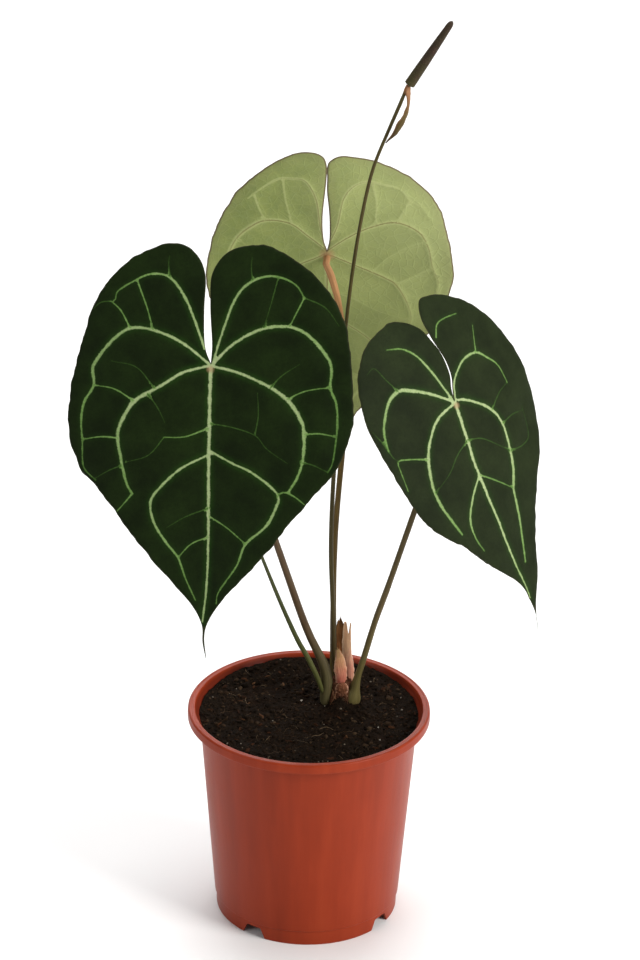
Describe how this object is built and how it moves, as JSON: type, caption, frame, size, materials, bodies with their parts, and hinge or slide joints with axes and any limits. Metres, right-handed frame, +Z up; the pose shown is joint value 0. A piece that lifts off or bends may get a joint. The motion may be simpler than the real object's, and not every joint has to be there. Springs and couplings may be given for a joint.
{
  "type": "potted anthurium",
  "caption": "Velvet-leaved anthurium with heart-shaped blades, a spadix with its reflexed spathe, cataphylls and potting mix, in a round moulded nursery pot with drainage notches.",
  "frame": {"origin": "on the pot's axis, level with the underside of its foot ring", "axes": "+Z up along the pot's axis, the plant's front faces -Y, +X to the right seen from the front"},
  "size_m": [0.2261, 0.138, 0.4634],
  "materials": {
    "terracotta_plastic": "satin moulded plastic, terracotta orange",
    "potting_mix": "loose, dark, fibrous",
    "rhizome_bark": "rough bark",
    "leaf_upper": "dark green velvet with pale veins",
    "leaf_underside": "matte light green with raised veins",
    "petiole": "satin brown-green",
    "flower_stalk": "satin dark brown",
    "spadix": "fine-grained matte",
    "spathe": "waxy",
    "young_stalk": "satin green",
    "cataphyll": "papery, dry"
  },
  "bodies": {
    "root": {"pot": "terracotta_plastic", "potting_mix": "potting_mix", "rhizome": "rhizome_bark", "leaf_left_blade": "leaf_upper", "leaf_left_petiole": "petiole", "leaf_right_blade": "leaf_upper", "leaf_right_petiole": "petiole", "leaf_back_blade": "leaf_upper", "leaf_back_petiole": "petiole", "flower_stalk": "flower_stalk", "spadix": "spadix", "spathe": "spathe", "young_stalk": "young_stalk", "young_spadix": "spadix", "young_spathe": "spathe", "cataphyll_brown": "cataphyll", "cataphyll_tan": "cataphyll", "cataphyll_pink": "cataphyll", "cataphyll_base": "cataphyll"}
  },
  "joints": []
}
